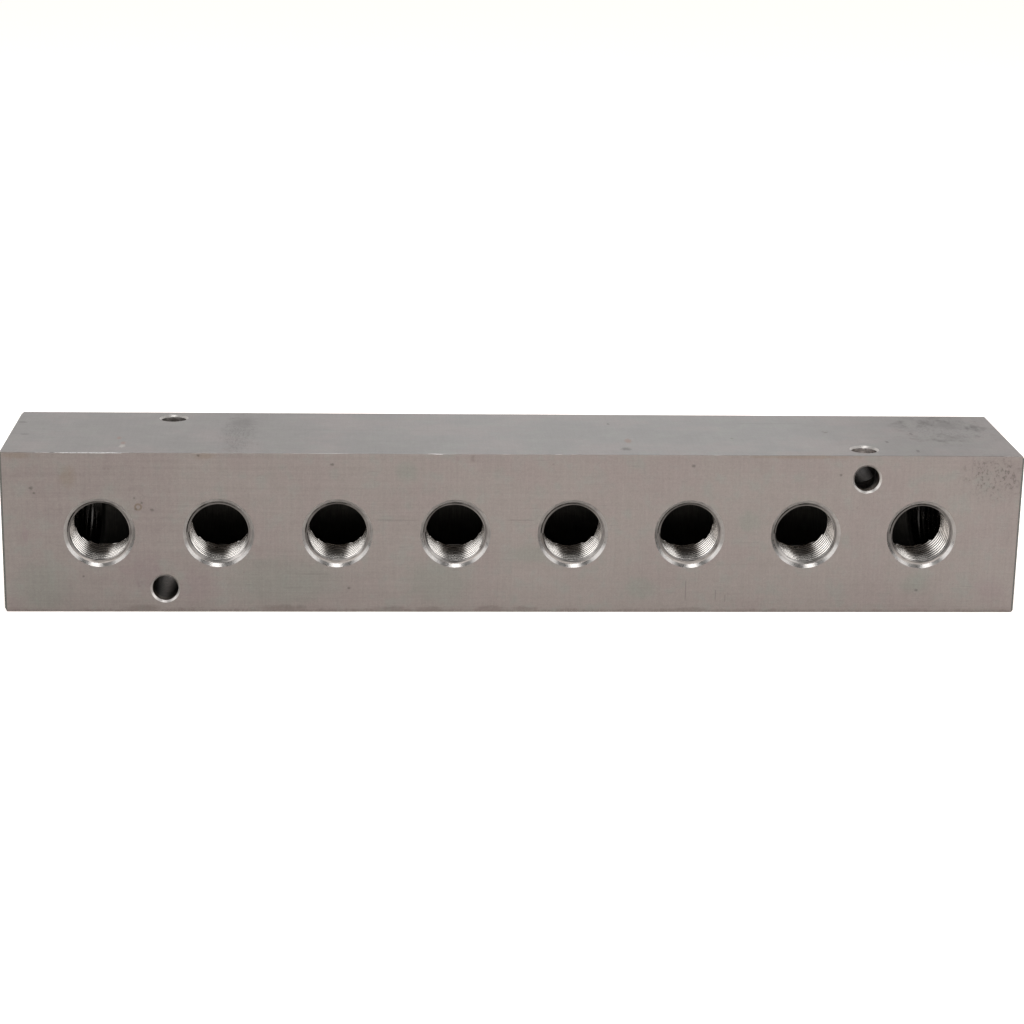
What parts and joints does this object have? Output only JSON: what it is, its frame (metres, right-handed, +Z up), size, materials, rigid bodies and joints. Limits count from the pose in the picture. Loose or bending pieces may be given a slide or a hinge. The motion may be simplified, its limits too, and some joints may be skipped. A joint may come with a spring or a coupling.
{
  "type": "hydraulic manifold block",
  "caption": "Square steel bar with a row of threaded ports down one face, a gallery through its length with a threaded port in each end, and crossed mounting holes.",
  "frame": {"origin": "centre of the bottom face", "axes": "+X along the bar, the ported front face looks along -Y, +Z up"},
  "size_m": [0.3302, 0.0534, 0.0533],
  "materials": {
    "machined_steel": "bare milled steel, satin, fine lengthwise and crosswise grain with a few stains"
  },
  "bodies": {
    "root": {"manifold_block": "machined_steel"}
  },
  "joints": []
}
